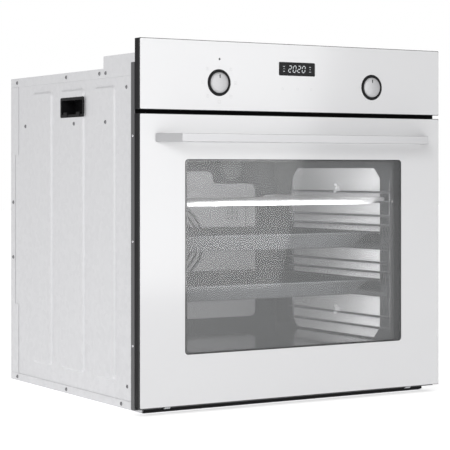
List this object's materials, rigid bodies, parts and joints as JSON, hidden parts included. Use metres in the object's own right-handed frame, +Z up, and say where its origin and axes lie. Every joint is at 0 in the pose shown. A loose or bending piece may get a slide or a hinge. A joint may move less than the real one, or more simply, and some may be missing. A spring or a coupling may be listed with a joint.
{
  "type": "built-in wall oven",
  "caption": "Built-in electric wall oven with a white glass fascia, drop-down glass door with bar handle, pop-out knobs, convection cavity, runners, trays and wire shelf.",
  "frame": {"origin": "on the underside of the base plate, midway across, in the plane where the front flange seats on the cabinet", "axes": "+X to the right of someone facing the door, +Y into the cabinet, +Z up"},
  "size_m": [0.595, 0.58, 0.595],
  "materials": {
    "white_glass": "gloss",
    "clear_glass": "gloss",
    "black_plastic": "satin",
    "front_frame_paint": "satin",
    "galvanised_sheet": "satin",
    "enamel": "gloss",
    "tray_enamel": "gloss",
    "liner_coating": "matte",
    "chrome_wire": "polished",
    "runner_steel": "polished",
    "brushed_aluminium": "brushed",
    "heater_tube": "satin",
    "seal_rubber": "matte",
    "mineral_wool": "matte"
  },
  "bodies": {
    "root": {"base_plate": "galvanised_sheet", "bottom_element": "heater_tube", "bottom_strip": "black_plastic", "cavity_liner": "enamel", "control_box_cover": "galvanised_sheet", "control_carrier": "black_plastic", "control_glass": "white_glass", "cooling_blower_housing": "galvanised_sheet", "display_module": "black_plastic", "door_seal": "seal_rubber", "fan_cover": "liner_coating", "fan_motor": "front_frame_paint", "front_frame": "front_frame_paint", "function_bezel": "black_plastic", "function_switch": "black_plastic", "grill_element": "heater_tube", "insulation_blanket": "mineral_wool", "lamp_glass": "clear_glass", "lamp_socket": "heater_tube", "left_carry_handle": "black_plastic", "left_hinge_arm": "galvanised_sheet", "left_hinge_bracket": "galvanised_sheet", "left_rack": "chrome_wire", "left_side_panel": "galvanised_sheet", "left_wall_liner": "liner_coating", "lower_left_runner": "runner_steel", "lower_right_runner": "runner_steel", "rear_cover": "galvanised_sheet", "right_carry_handle": "black_plastic", "right_hinge_arm": "galvanised_sheet", "right_hinge_bracket": "galvanised_sheet", "right_rack": "chrome_wire", "right_side_panel": "galvanised_sheet", "right_wall_liner": "liner_coating", "ring_heater": "heater_tube", "temperature_bezel": "black_plastic", "terminal_block": "black_plastic", "thermostat": "black_plastic", "top_cover": "galvanised_sheet", "upper_left_runner": "runner_steel", "upper_right_runner": "runner_steel"},
    "door": {"door_outer_glass": "white_glass", "door_frame": "black_plastic", "door_inner_glass": "clear_glass", "door_handle": "brushed_aluminium", "left_hinge_body": "galvanised_sheet", "right_hinge_body": "galvanised_sheet"},
    "wire_shelf": {"wire_shelf": "chrome_wire"},
    "upper_tray": {"upper_tray": "tray_enamel", "upper_left_slider": "runner_steel", "upper_right_slider": "runner_steel"},
    "lower_tray": {"lower_tray": "tray_enamel", "lower_left_slider": "runner_steel", "lower_right_slider": "runner_steel"},
    "function_spindle": {"function_spindle": "brushed_aluminium"},
    "function_knob": {"function_knob": "brushed_aluminium"},
    "temperature_spindle": {"temperature_spindle": "brushed_aluminium"},
    "temperature_knob": {"temperature_knob": "brushed_aluminium"},
    "convection_fan": {"convection_fan": "brushed_aluminium"},
    "cooling_wheel": {"cooling_wheel": "black_plastic"}
  },
  "joints": [
    {"name": "door_hinge", "type": "hinge", "parent": "root", "child": "door", "pos_m": [0, -0.012, 0.0105], "axis": [1, 0, 0], "range_deg": [0, 90], "stiffness_Nm_per_rad": 4, "springref_deg": -34.38},
    {"name": "wire_shelf_slide", "type": "slide", "parent": "root", "child": "wire_shelf", "axis": [0, -1, 0], "range_m": [0, 0.272]},
    {"name": "upper_tray_slide", "type": "slide", "parent": "root", "child": "upper_tray", "axis": [0, -1, 0], "range_m": [0, 0.281]},
    {"name": "lower_tray_slide", "type": "slide", "parent": "root", "child": "lower_tray", "axis": [0, -1, 0], "range_m": [0, 0.221]},
    {"name": "function_turn", "type": "hinge", "parent": "root", "child": "function_spindle", "pos_m": [-0.152, -0.031, 0.5276], "axis": [0, 1, 0], "continuous": true},
    {"name": "function_pop", "type": "slide", "parent": "function_spindle", "child": "function_knob", "axis": [0, -1, 0], "range_m": [0, 0.014]},
    {"name": "temperature_turn", "type": "hinge", "parent": "root", "child": "temperature_spindle", "pos_m": [0.152, -0.031, 0.5276], "axis": [0, 1, 0], "range_deg": [0, 270]},
    {"name": "temperature_pop", "type": "slide", "parent": "temperature_spindle", "child": "temperature_knob", "axis": [0, -1, 0], "range_m": [0, 0.014]},
    {"name": "convection_fan_spin", "type": "hinge", "parent": "root", "child": "convection_fan", "pos_m": [0, 0.431, 0.25], "axis": [0, 1, 0], "continuous": true},
    {"name": "cooling_wheel_spin", "type": "hinge", "parent": "root", "child": "cooling_wheel", "pos_m": [0, 0.255, 0.47], "axis": [0, 0, 1], "continuous": true}
  ],
  "couplings": [
    {"joint": "wire_shelf_slide", "follows": "door_hinge", "m_per_rad": 0.172},
    {"joint": "upper_tray_slide", "follows": "door_hinge", "m_per_rad": 0.178},
    {"joint": "lower_tray_slide", "follows": "door_hinge", "m_per_rad": 0.14}
  ]
}
